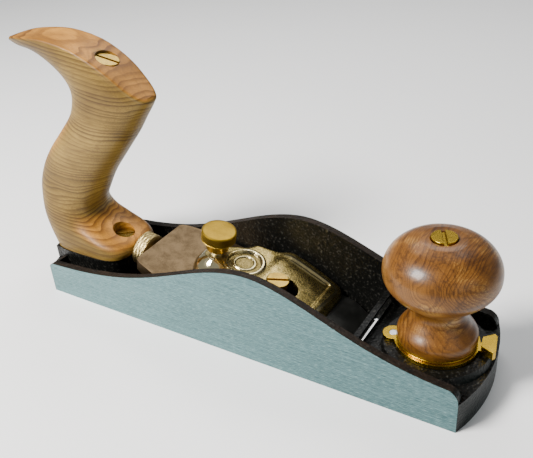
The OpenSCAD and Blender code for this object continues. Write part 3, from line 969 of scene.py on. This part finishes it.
@dataclass
class Tote:
    """The horned tote: ovals on rungs that lean from level at the pad to the slope of the facet.

    back and front are the ends of the rungs, as places along the plane and
    heights. half and power give each rung's half width and squareness by its
    number, and facet is the arch of the upper face.
    """

    back: Knots = (
        (-129.0, 23), (-132, 28), (-134.6, 32), (-136.8, 37.5), (-138.2, 43), (-138.7, 50),
        (-137.9, 60.5), (-134, 70.5), (-126.8, 80.5), (-115.5, 92.5), (-106, 103), (-101.9, 111),
        (-101.3, 118), (-105.4, 124.3), (-114, 130.2), (-125, 135.0), (-135.2, 137.0), (-140.6, 139.3),
    )
    front: Knots = (
        (-76.6, 23), (-76, 25.6), (-78.6, 29.4), (-88, 33.3), (-96.5, 37.4), (-101.2, 43.2),
        (-100.6, 48.6), (-96.2, 56), (-88.2, 68.5), (-76.2, 83.1), (-65.4, 96.0), (-58.4, 105.6),
        (-54.6, 110.4), (-52.9, 112.6), (-52.0, 113.9), (-51.4, 114.7), (-51.0, 115.3), (-50.8, 115.8),
    )
    half: Knots = (
        (0, 20.3), (2, 19.7), (4, 18.0), (6, 15.8), (7, 14.8), (9, 14.1), (11, 13.8), (13, 13.3), (15, 12.6),
        (17, 12.2),
    )
    power: Knots = ((0, 4), (3, 3.1), (6, 2.5), (9, 2.35), (12, 2.4), (15, 2.7), (17, 3.0))
    facet: Knots = (
        (-140.6, 140.4), (-136, 142.8), (-122, 144.4), (-108, 144.6), (-91.3, 141.9), (-79.3, 137.2),
        (-68.7, 130.9), (-60.1, 124), (-50.8, 116.9),
    )
    rows: int = 150
    around: int = 96
    arch_from: float = 9.5
    edge_round: float = 1.1
    edge_turns: tuple[int, ...] = (30, 60, 90)
    spine: tuple[float, float] = (-128.0, -62.0)
    crown: float = 0.15
    strips: int = 10
    screw_hole: float = 6.1
    screw_depth: float = 3.0
    nut_lean: float = 21.0
    nut_radius: float = 6.0
    nut_hole: float = 6.25
    nut_depth: float = 3.2
    fastener_round: float = 0.3
    sharp: float = 60.0
    cut_sharp: float = 48.0

    def surface(self) -> np.ndarray:
        """Works out the side of the tote.

        A rung joins a point of the back edge to a point of the front edge. Its
        oval lies along the rung and across the plane, and bows up towards the
        facet's arch over the last few rungs.

        Returns:
            The rings from the pad to the facet.
        """
        last = len(self.back) - 1
        t = np.linspace(0, last, self.rows)
        index = range(len(self.back))
        bx, bz = (curve(t, tuple((i, self.back[i][k]) for i in index)) for k in (0, 1))
        fx, fz = (curve(t, tuple((i, self.front[i][k]) for i in index)) for k in (0, 1))
        angle = np.linspace(0, 2 * np.pi, self.around, endpoint=False)
        s, w = oval(angle[None, :], curve(t, self.power)[:, None])
        share = (1 + s) / 2
        x = bx[:, None] + (fx - bx)[:, None] * share
        z = bz[:, None] + (fz - bz)[:, None] * share
        chord = bz[-1] + (fz[-1] - bz[-1]) * share
        arch = curve(bx[-1] + (fx[-1] - bx[-1]) * share, self.facet) - self.edge_round - chord
        z = z + arch * ease(t, self.arch_from, last)[:, None]
        y = curve(t, self.half)[:, None] * w
        return np.stack([x, y, z], -1)

    def rim(self, top: np.ndarray) -> np.ndarray:
        """Rings that round the facet's edge.

        Each draws the last ring of the side in towards the spine by the part
        of the rounding that it has turned, and lifts it on to the facet.

        Args:
            top: the last ring of the side.

        Returns:
            The rings, from the side to the facet.
        """
        core = np.stack([np.clip(top[:, 0], *self.spine), np.zeros(len(top)), top[:, 2]], -1)
        away = top - core
        far = np.maximum(np.linalg.norm(away[:, :2], axis=1, keepdims=True), 1e-6)
        rings = []
        for turn in np.radians(self.edge_turns):
            inset = self.edge_round * (1 - math.cos(turn))
            ring = top - away * np.minimum(inset / far, 0.9)
            ring[:, 2] = curve(ring[:, 0], self.facet) - self.edge_round + self.edge_round * math.sin(turn)
            rings.append(ring)
        return np.stack(rings)

    def shell(self) -> bpy.types.Object:
        """Closes the side with its flat foot and its facet.

        The facet is a grid: each point of the left edge is joined straight to
        its partner on the right, with a slight crown across.

        Returns:
            The tote without its holes.
        """
        side = self.surface()
        rings = np.concatenate([side, self.rim(side[-1])])
        edge = rings[-1]
        pairs = np.arange(1, self.around // 2)
        across = np.linspace(0, 1, self.strips + 1)[1:-1]
        left, right = edge[pairs], edge[self.around - pairs]
        fill = left[:, None, :] + (right - left)[:, None, :] * across[None, :, None]
        fill[..., 2] += self.crown * np.sin(np.pi * across)[None, :]
        count = len(rings) * self.around
        start = count - self.around
        rows = np.concatenate([
            (start + pairs)[:, None], count + np.arange(fill[..., 0].size).reshape(len(pairs), -1),
            (start + self.around - pairs)[:, None],
        ], 1)
        facet = np.stack([rows[:-1, :-1], rows[:-1, 1:], rows[1:, 1:], rows[1:, :-1]], -1).reshape(-1, 4)
        tips = [[*rows[0].tolist(), start], [*rows[-1].tolist(), start + self.around // 2]]
        foot = [list(range(self.around))]
        faces = tube_faces(len(rings), self.around).tolist() + facet.tolist() + tips + foot
        points = np.concatenate([rings.reshape(-1, 3), fill.reshape(-1, 3)])
        return make_piece("horned_tote", points, faces, self.sharp)

    def wood(self) -> bpy.types.Object:
        """The tote with the holes for its toe screw and its nut.

        Returns:
            The finished wood.
        """
        tote = self.shell()
        screw = middle("tote_toe_screw")
        low = span("tote_toe_screw", 2)[1] - self.screw_depth
        hole = round_bar(self.screw_hole, low, low + 30, Matrix.Translation((screw.x, 0, 0)))
        nut_high = Vector(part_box("tote_nut")[1]) / MM
        lean = math.radians(self.nut_lean)
        back, down = self.nut_radius * math.cos(lean), self.nut_radius * math.sin(lean)
        place = Matrix.Translation((nut_high.x - back, 0, nut_high.z - down)) @ Matrix.Rotation(lean, 4, "Y")
        seat = round_bar(self.nut_hole, -self.nut_depth, 20, place)
        carve(tote, [hole, seat], self.cut_sharp)
        return tote

    def build(self, wood: bpy.types.Material, brass: bpy.types.Material) -> None:
        """Dresses the tote, its nut and its screw."""
        tote = self.wood()
        paint_upward(tote)
        settle(tote, Body.CASTING, "tote", wood)
        for node, name in (("tote_nut", "slotted_tote_nut"), ("tote_toe_screw", "slotted_toe_screw")):
            settle_copy(node, name, self.fastener_round, Body.CASTING, brass)


@dataclass
class LeverCap:
    """The cast cap that holds the iron down, with its screw.

    Places run along the bed from the cutting edge, and heights stand square
    to it. upper gives the waist's half width and under the height of the
    underside, each by its place along the bed.
    """

    bed: Bed
    crest: float = 20.6
    crest_at: float = -65.0
    bend: float = 0.005
    nose: float = -20.2
    half: float = 24.6
    corner: float = 3.4
    thumb_reach: float = 12.0
    screw_at: float = -48.5
    sink: float = 1.1
    panel_end: float = -56.5
    ring_at: float = -69.0
    roll: float = 1.6
    nose_fall: float = 2.3
    chamfer_fall: float = 5.8
    chamfer_wide: float = 6.0
    least_wall: float = 0.5
    keyhole_at: float = -42.8
    keyhole_radius: float = 6.2
    seat_height: float = 16.0
    shank_radius: float = 3.6
    thread_radius: float = 3.95
    screw_round: float = 0.3
    sharp: float = 40.0
    points: int = 520
    upper: Knots = (
        (-51, 24.6), (-53.2, 24.3), (-55.4, 23.0), (-57.4, 20.7), (-59.6, 19.3), (-63, 18.2), (-68, 17.5),
        (-73, 16.6), (-78, 14.8), (-82, 12.9),
    )
    under: Knots = (
        (-99, 9.6), (-90, 9.2), (-80, 11), (-72, 14), (-60, 14), (-45, 12.6), (-33, 10), (-26, 7.0),
        (-23.5, 6.42), (-20, 6.42),
    )
    iron_top: float = 6.4

    def outline(self) -> np.ndarray:
        """Outline from above, counted round from the nose.

        Straight nose with round corners, straight sides, drawn-in shoulders,
        a tapering waist, and a half circle about the thumbscrew.

        Returns:
            Evenly spaced points, as x and y in the bed's frame.
        """
        turn = np.radians(np.arange(0, 91, 10))
        near = self.nose - self.corner
        side = self.half - self.corner
        bend = np.stack([near + self.corner * np.cos(turn), side + self.corner * np.sin(turn)], -1)
        waist_x = np.linspace(self.upper[0][0], self.upper[-1][0], 40)
        waist = np.stack([waist_x, curve(waist_x, tuple(sorted(self.upper)))], -1)
        swing = np.radians(np.arange(80, 181, 10))
        tail = np.stack([THUMB_AT + self.thumb_reach * np.cos(swing), self.thumb_reach * np.sin(swing)], -1)
        half = np.concatenate([[[self.nose, 0]], bend, waist, tail])
        whole = np.concatenate([half, half[-2:0:-1] * [1, -1]])
        closed = np.concatenate([whole, whole[:1]])
        length = np.r_[0, np.cumsum(np.linalg.norm(np.diff(closed, axis=0), axis=1))]
        even = np.linspace(0, length[-1], self.points, endpoint=False)
        return np.stack([np.interp(even, length, closed[:, 0]), np.interp(even, length, closed[:, 1])], -1)

    def crown(self, x: np.ndarray) -> np.ndarray:
        """Height of the plain upper face: a parabola with its top at the crest."""
        return self.crest - self.bend * (x - self.crest_at) ** 2

    def belly(self, x: np.ndarray) -> np.ndarray:
        """Height of the underside, which clears the iron apart from the nose."""
        return np.maximum(curve(x, self.under), self.iron_top)

    def relief(
        self, x: np.ndarray, y: np.ndarray, inside: np.ndarray
    ) -> tuple[np.ndarray, np.ndarray, np.ndarray]:
        """Raised and sunk detail of the upper face.

        Near the screw a panel is sunk inside a lip, with a ledge along it.
        Nearer the thumbscrew a round dish holds a rim and an inner ring. Each
        is a smooth step up in the distance from its edge and a step down.

        Args:
            x: place along the bed.
            y: place across.
            inside: distance in from the outline.

        Returns:
            The height to add, the polish mask and the hollow mask, which darkens the dish and paints shade
            along the edge of the sunk panel.
        """
        end = self.panel_end
        panel = ease(inside, 4.2, 5.6) * ease(x, end - 3.5, end + 1.5) * ease(-x, 26.6, 28.0)
        ledge = ease(inside, 4.6, 5.2) * (1 - ease(inside, 6.4, 7.2)) * ease(x, -53, -51) * ease(-x, 28.5, 30)
        far = np.hypot(x - self.ring_at, y)
        dish = 1 - ease(far, 8.6, 9.6)
        rim = ease(far, 8.4, 9.4) * (1 - ease(far, 10.4, 11.4))
        inner_ring = ease(far, 4.6, 5.2) * (1 - ease(far, 6.0, 6.6))
        lift = -self.sink * panel + 0.35 * ledge + 0.55 * rim - 1.15 * dish + 0.7 * inner_ring
        lip = ease(inside, 2.6, 4.2) * (1 - ease(inside, 4.2, 5.0)) * ease(x, end, end + 3)
        polish = np.clip(0.85 * lip + 0.6 * rim + 0.5 * inner_ring + 0.3 * ledge, 0, 1)
        shade_panel = 0.35 * panel * (1 - ease(inside, 5.4, 7.5))
        hollow = np.clip(0.8 * dish * (1 - inner_ring) + shade_panel, 0, 1)
        return lift, polish, hollow

    def casting(self) -> bpy.types.Object:
        """Works out the cap as rings that shrink from its outline to its middle line.

        The upper rings carry the relief, roll over at the outline, and fall as
        a hollow chamfer beside the thumbscrew; the lower rings follow the belly.

        Returns:
            The cap with its keyhole and its thread hole cut.
        """
        rim = self.outline()
        core = np.stack([np.clip(rim[:, 0], THUMB_AT, -40.0), np.zeros(len(rim))], -1)
        away = rim - core
        far = np.linalg.norm(away, axis=1)
        depth = np.r_[0, 0.12, 0.35, 0.7, 1.1, 1.6, np.linspace(2.2, 30, 74)]
        share = np.clip(1 - depth[:, None] / far[None, :], 0, 1)
        share[-1] = 0
        x = core[:, 0] + away[:, 0] * share
        y = core[:, 1] + away[:, 1] * share
        inside = far[None, :] * (1 - share)
        lift, polish, hollow = self.relief(x, y, inside)
        fall = self.roll - np.sqrt(np.maximum(self.roll**2 - np.maximum(self.roll - inside, 0) ** 2, 0))
        nose_fall = self.nose_fall * ease(x, -24.5, -20.0) ** 2
        rear = ease(-x, 70, 80)
        cut = np.clip(1 - inside / self.chamfer_wide, 0, 1)
        chamfer = self.chamfer_fall * rear * cut**1.5
        top = self.crown(x) + lift - fall - nose_fall - chamfer
        polish = np.clip(polish * (1 - rear) + rear * ease(cut, 0.02, 0.12), 0, 1)
        low = np.minimum(self.belly(x), top - self.least_wall)
        drop = top[0] - low[0]
        wall = np.stack([np.stack([x[0], y[0], top[0] - drop * k], -1) for k in (0.35, 0.7, 0.93)])
        bottom_rows = np.arange(0, len(depth), 4)
        bottom = np.stack([x[bottom_rows], y[bottom_rows], low[bottom_rows]], -1)
        upper = np.stack([x, y, top], -1)[::-1]
        rings = np.concatenate([upper, wall, bottom])
        wall_polish = np.repeat((rear[0] * 0.9)[None, :], len(wall), 0)
        mask = np.concatenate([polish[::-1], wall_polish, np.zeros(bottom.shape[:2])])
        shadow = np.concatenate([hollow[::-1], np.zeros(wall.shape[:2]), np.ones(bottom.shape[:2]) * 0.4])
        points = in_place(rings.reshape(-1, 3), self.bed.matrix())
        masks = {"polish": mask.ravel(), "hollow": shadow.ravel()}
        faces = tube_faces(len(rings), len(rim)).tolist()
        cap = make_piece("cast_lever_cap", points, faces, self.sharp, masks)
        keyhole, screw = self.bed.at(self.keyhole_at), self.bed.at(self.screw_at)
        holes = [
            round_bar(self.keyhole_radius, 0, CLEAR, keyhole),
            round_bar(self.keyhole_radius, self.seat_height, CLEAR, screw),
            round_bar(self.shank_radius, 0, CLEAR, screw),
            round_bar(self.thread_radius, 0, CLEAR, self.bed.at(THUMB_AT)),
        ]
        carve(cap, holes, self.sharp)
        return cap

    def build(self, bronze: bpy.types.Material, brass: bpy.types.Material) -> None:
        """Dresses the cap and its screw."""
        settle(self.casting(), Body.LEVER_CAP, "lever_cap", bronze)
        settle_copy("cap_screw", "slotted_cap_screw", self.screw_round, Body.CAP_SCREW, brass)


@dataclass
class KnurledPart:
    """A turned part with a knurled rim, drawn about its own Z and put in place by a matrix.

    profile runs from corner to corner as radius and height. rim holds the two
    heights between which the ridges lie, teeth is their number round the rim,
    deep their depth, and fade the height over which they begin and end.
    """

    profile: Knots
    rim: tuple[float, float]
    teeth: int
    deep: float
    place: Matrix
    fade: float = 0.35
    slant: float = 1.5
    rim_rows: int = 18
    tooth_points: int = 6
    sharp: float = 30.0

    def make(self, name: str) -> bpy.types.Object:
        """Works out the turned part.

        The radius follows the profile. Between the two heights of the rim it
        loses the height of two crossing sets of ridges, which wind opposite
        ways and make diamonds.

        Args:
            name: the piece's name.

        Returns:
            The part, in place.
        """
        around = self.teeth * self.tooth_points
        angle = np.linspace(0, 2 * np.pi, around, endpoint=False)
        corners = np.array(self.profile, float)
        rows = []
        for a, b in zip(corners[:-1], corners[1:]):
            fine = abs(a[0] - b[0]) < 1e-6 and a[1] >= self.rim[0] - 1e-6 and b[1] <= self.rim[1] + 1e-6
            steps = self.rim_rows if fine else 1
            rows.append(a + (b - a) * np.linspace(0, 1, steps, endpoint=False)[:, None])
        line = np.concatenate([*rows, corners[-1:]])
        radius = np.repeat(line[:, :1], around, 1)
        height = np.repeat(line[:, 1:], around, 1)
        pitch = 2 * np.pi * line[:, 0].max() / self.teeth
        wind = self.teeth * angle[None, :]
        climb = 2 * np.pi * (height - self.rim[0]) / (pitch * self.slant)
        ridge = np.abs(np.sin((wind + climb) / 2)) * np.abs(np.sin((wind - climb) / 2))
        onto = ease(height, self.rim[0], self.rim[0] + self.fade)
        onto = onto * (1 - ease(height, self.rim[1] - self.fade, self.rim[1]))
        on_rim = (radius > line[:, 0].max() - 0.25) & (onto > 0)
        # The groove mask lets the finish paint shade into the knurl's valleys
        groove = np.where(on_rim, (1 - ridge) * onto, 0)
        radius = radius - self.deep * groove
        flat = np.stack([radius * np.cos(angle), radius * np.sin(angle), height], -1).reshape(-1, 3)
        faces = tube_faces(len(line), around).tolist()
        return make_piece(name, in_place(flat, self.place), faces, self.sharp, {"groove": groove.ravel()})


@dataclass
class IronGroup:
    """The iron, its adjuster and the thumbscrew that clamps it.

    Places run along the bed from the cutting edge, and heights stand square
    to it. A bore is drawn 0.05 mm wider than the rod that fills it.
    """

    bed: Bed
    iron_round: float = 0.12
    nut_round: float = 0.3
    spindle_round: float = 0.2
    axis_drop: float = -4.0
    wheel: tuple[float, float] = (-136.5, -128.2)
    wheel_radius: float = 10.0
    wheel_corner: float = 0.95
    wheel_teeth: int = 108
    wheel_knurl: float = 0.20
    hub_radius: float = 3.9
    hub_long: float = 9.0
    bore: float = 3.05
    thumb_top: float = 33.0
    thumb_deep: float = 6.0
    thumb_radius: float = 9.25
    thumb_corner: float = 0.6
    thumb_teeth: int = 62
    thumb_knurl: float = 0.42
    neck_foot: float = 21.05
    neck_radius: float = 6.0

    def adjuster(self) -> bpy.types.Object:
        """The knurled wheel with its hub, turned about the adjuster's axis."""
        place = self.bed.at(self.wheel[0], self.axis_drop) @ Matrix.Rotation(math.radians(90), 4, "Y")
        wide = self.wheel[1] - self.wheel[0]
        r, hub, bore, corner = self.wheel_radius, self.hub_radius, self.bore, self.wheel_corner
        foot = wide + self.hub_long
        profile = (
            (bore, 0.4), (bore + 0.3, 0), (r - 1.6, 0), (r - 0.9, 0.25), (r, corner), (r, wide - corner),
            (r - 0.9, wide - 0.25), (r - 1.6, wide), (hub, wide), (hub, foot), (bore, foot), (bore, 0.4),
        )
        part = KnurledPart(profile, (corner, wide - corner), self.wheel_teeth, self.wheel_knurl, place)
        return part.make("knurled_adjuster_wheel")

    def thumb_head(self) -> bpy.types.Object:
        """The thumbscrew's head: a knurled rim, a faintly domed top and a neck below."""
        r, top, neck, foot = self.thumb_radius, self.thumb_top, self.neck_radius, self.neck_foot
        low = top - self.thumb_deep
        rim = (low + self.thumb_corner, top - 0.7)
        profile = (
            (0.0, foot), (neck - 0.4, foot), (neck, foot + 0.35), (neck, low - 1.4), (neck + 0.4, low - 0.6),
            (7.4, low), (r - self.thumb_corner, low), (r, rim[0]), (r, rim[1]), (r - 0.15, top - 0.35),
            (r - 0.55, top - 0.1), (r - 1.2, top - 0.02), (r * 0.5, top), (0.0, top),
        )
        part = KnurledPart(profile, rim, self.thumb_teeth, self.thumb_knurl, self.bed.at(THUMB_AT))
        return part.make("knurled_thumbscrew_head")

    def build(
        self, brass: bpy.types.Material, wheel: bpy.types.Material, steel: bpy.types.Material,
        blade: bpy.types.Material,
    ) -> None:
        """Makes and dresses the iron's pieces."""
        settle_copy("iron", "bevel_up_iron", self.iron_round, Body.IRON, blade)
        settle_copy("adjuster_nut", "pegged_adjuster_nut", self.nut_round, Body.IRON, brass)
        settle_copy(
            "adjuster_screw", "collared_adjuster_screw", self.spindle_round, Body.ADJUSTER, steel
        )
        settle(self.adjuster(), Body.ADJUSTER, "adjuster_wheel", wheel)
        settle(self.thumb_head(), Body.THUMBSCREW, "thumbscrew_head", brass)


# ---------------------------------------------------------------- studio


@dataclass(frozen=True)
class SoftBox:
    """A rectangular light: its place and aim in millimetres, its size, watts and tint."""

    name: str
    at: Triple
    aim: Triple
    size: tuple[float, float]
    power: float
    tint: Colour

    def hang(self) -> None:
        """Adds the light, facing its aim."""
        lamp = bpy.data.lights.new(self.name, "AREA")
        lamp.shape = "RECTANGLE"
        lamp.size, lamp.size_y = self.size[0] * MM, self.size[1] * MM
        lamp.energy = self.power
        lamp.color = self.tint
        box = bpy.data.objects.new(self.name, lamp)
        facing = (Vector(self.at) - Vector(self.aim)).to_track_quat("Z", "Y")
        box.matrix_world = Matrix.Translation(Vector(self.at) * MM) @ facing.to_matrix().to_4x4()
        bpy.context.scene.collection.objects.link(box)


@dataclass
class Studio:
    """Pale floor, soft lights and the camera, with angles in degrees and the focal length in mm."""

    azimuth: float = 33.12
    elevation: float = 30.76
    roll: float = -4.15
    distance: float = 353.7
    aim: Triple = (11.25, 0.0, 58.19)
    focal: float = 48.14
    floor_half: float = 3000.0
    floor_drop: float = 0.02
    sky: Colour = (0.94, 0.97, 1.0)
    sky_power: float = 0.27
    lights: tuple[SoftBox, ...] = (
        SoftBox("key", (-350, -500, 700), (0, 0, 40), (300, 300), 22.0, (1.0, 0.98, 0.95)),
        SoftBox("fill", (650, -250, 350), (40, 0, 40), (500, 300), 0.5, (0.90, 0.98, 0.95)),
        SoftBox("back", (-150, 600, 850), (0, 0, 50), (800, 400), 5.0, (1.0, 1.0, 1.0)),
    )

    def camera(self) -> None:
        """Puts the camera at the viewing angle: back along the view, then rolled."""
        a, e, r = (math.radians(v) for v in (self.azimuth, self.elevation, self.roll))
        back = Vector((math.sin(a) * math.cos(e), -math.cos(a) * math.cos(e), math.sin(e)))
        level = Vector((math.cos(a), math.sin(a), 0))
        rise = back.cross(level)
        right = level * math.cos(r) + rise * math.sin(r)
        up = rise * math.cos(r) - level * math.sin(r)
        seat = (Vector(self.aim) + back * self.distance) * MM
        lens = bpy.data.cameras.new("camera")
        lens.lens = self.focal
        lens.sensor_width = 36.0
        lens.sensor_fit = "HORIZONTAL"
        lens.clip_start = 0.01
        camera = bpy.data.objects.new("camera", lens)
        camera.matrix_world = Matrix.Translation(seat) @ Matrix((right, up, back)).transposed().to_4x4()
        bpy.context.scene.collection.objects.link(camera)
        bpy.context.scene.camera = camera

    def floor(self) -> None:
        """A wide pale floor just under the sole."""
        side = np.array([[-1, -1], [1, -1], [1, 1], [-1, 1]]) * self.floor_half
        floor = make_piece("studio_floor", np.c_[side, np.full(4, -self.floor_drop)], [[0, 1, 2, 3]])
        g = Graph("floor_paper")
        cloud = g.noise(g.place((0.02, 0.02, 0.02)), 3.0)
        colour = g.mix(cloud * 0.12, (0.93, 0.93, 0.93), (0.86, 0.86, 0.87))
        floor.data.materials.append(g.dress(Base_Color=colour, Roughness=0.75))

    def build(self) -> None:
        """Sets the camera, the floor, the sky and the lights."""
        self.camera()
        self.floor()
        world = bpy.data.worlds.new("studio")
        world.use_nodes = True
        background = world.node_tree.nodes["Background"]
        background.inputs["Color"].default_value = (*self.sky, 1.0)
        background.inputs["Strength"].default_value = self.sky_power
        bpy.context.scene.world = world
        for box in self.lights:
            box.hang()


# ---------------------------------------------------------------- the plane


KNOB_STOPS: Stops = (
    (0.14, (0.50, 0.30, 0.085)),
    (0.32, (0.175, 0.072, 0.012)),
    (0.50, (0.060, 0.022, 0.004)),
    (0.85, (0.012, 0.005, 0.002)),
)
TOTE_STOPS: Stops = (
    (0.12, (0.34, 0.215, 0.045)),
    (0.38, (0.150, 0.088, 0.014)),
    (0.58, (0.070, 0.037, 0.006)),
    (0.88, (0.022, 0.010, 0.002)),
)


def main() -> None:
    """Builds every sub-assembly in order."""
    logging.basicConfig(level=logging.INFO, format="%(message)s")
    Studio().build()
    bed = Bed(span("iron", 0)[1])
    knob_axis = middle("knob")
    brass = MetalFinish("brass", (0.42, 0.27, 0.05), (0.20, 0.12, 0.02), 0.26).material()
    knob_brass = MetalFinish(
        "knob_brass", (0.44, 0.28, 0.022), (0.24, 0.145, 0.012), 0.22, axis_at=(knob_axis.x, 0, 0)
    ).material()
    thumb_brass = MetalFinish(
        "thumb_brass", (0.36, 0.225, 0.022), (0.20, 0.12, 0.012), 0.36,
        axis_at=tuple(bed.at(THUMB_AT).translation), axis_turn=(0, -bed.slope, 0), marks=0.03,
    ).material()
    wheel_brass = MetalFinish("wheel_brass", (0.66, 0.50, 0.21), (0.44, 0.32, 0.12), 0.30).material()
    steel = MetalFinish("turned_steel", (0.62, 0.63, 0.64), (0.44, 0.44, 0.44), 0.28).material()
    plate = MetalFinish(
        "ground_plate", (0.11, 0.12, 0.12), (0.06, 0.066, 0.064), 0.44, marks=0.03
    ).material()
    # The iron's dark grey past 36 mm is a painted reflection of the black walls in its flat end
    blade = MetalFinish(
        "lapped_blade", (0.155, 0.105, 0.055), (0.09, 0.06, 0.03), 0.38, marks=0.025, tarnish=0.8,
        lay=(0.5, 2.4, 0.5), tip_reflection=(0.085, 0.085, 0.078), tip_reflection_from=36.0,
    ).material()
    bronze = BronzeFinish().material()
    knob_wood = WoodFinish(
        "knob_wood", KNOB_STOPS, heart=(knob_axis.x + 34, -6, 68), lie=(0, 57, -90), layer=1.5, sway=20.0,
        facing_light_tint=(1.0, 0.82, 0.62), facing_light_share=0.25, vein=(0.026, 0.009, 0.003), veins=0.70, bands=0.10,
        mottle=0.070, rough=0.27, coat=0.10,
    ).material()
    tote_wood = WoodFinish(
        "tote_wood", TOTE_STOPS, heart=(-100, 10, -150), lie=(0, -6, 0), layer=2.3, sway=13.0,
        facing_light_tint=(2.1, 1.46, 0.95), facing_light_share=0.9, vein=(0.075, 0.034, 0.010), veins=0.35, bands=0.20,
        mottle=0.045, rough=0.42, coat=0.03,
    ).material()
    Casting().build(plate)
    Mouth().build(knob_brass, steel)
    knob = Knob(*span("knob", 2), knob_axis.x)
    knob.build(knob_wood)
    knob.fittings(knob_brass)
    Tote().build(tote_wood, brass)
    LeverCap(bed).build(bronze, brass)
    IronGroup(bed).build(thumb_brass, wheel_brass, steel, blade)
    for node in ("knob_bolt", "tote_rod", "thumbscrew_stud"):
        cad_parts[node].material_slots[0].material = steel
        LOG.info("%s is kept from the frame, in turned steel", node)


if __name__ == "__main__":
    main()
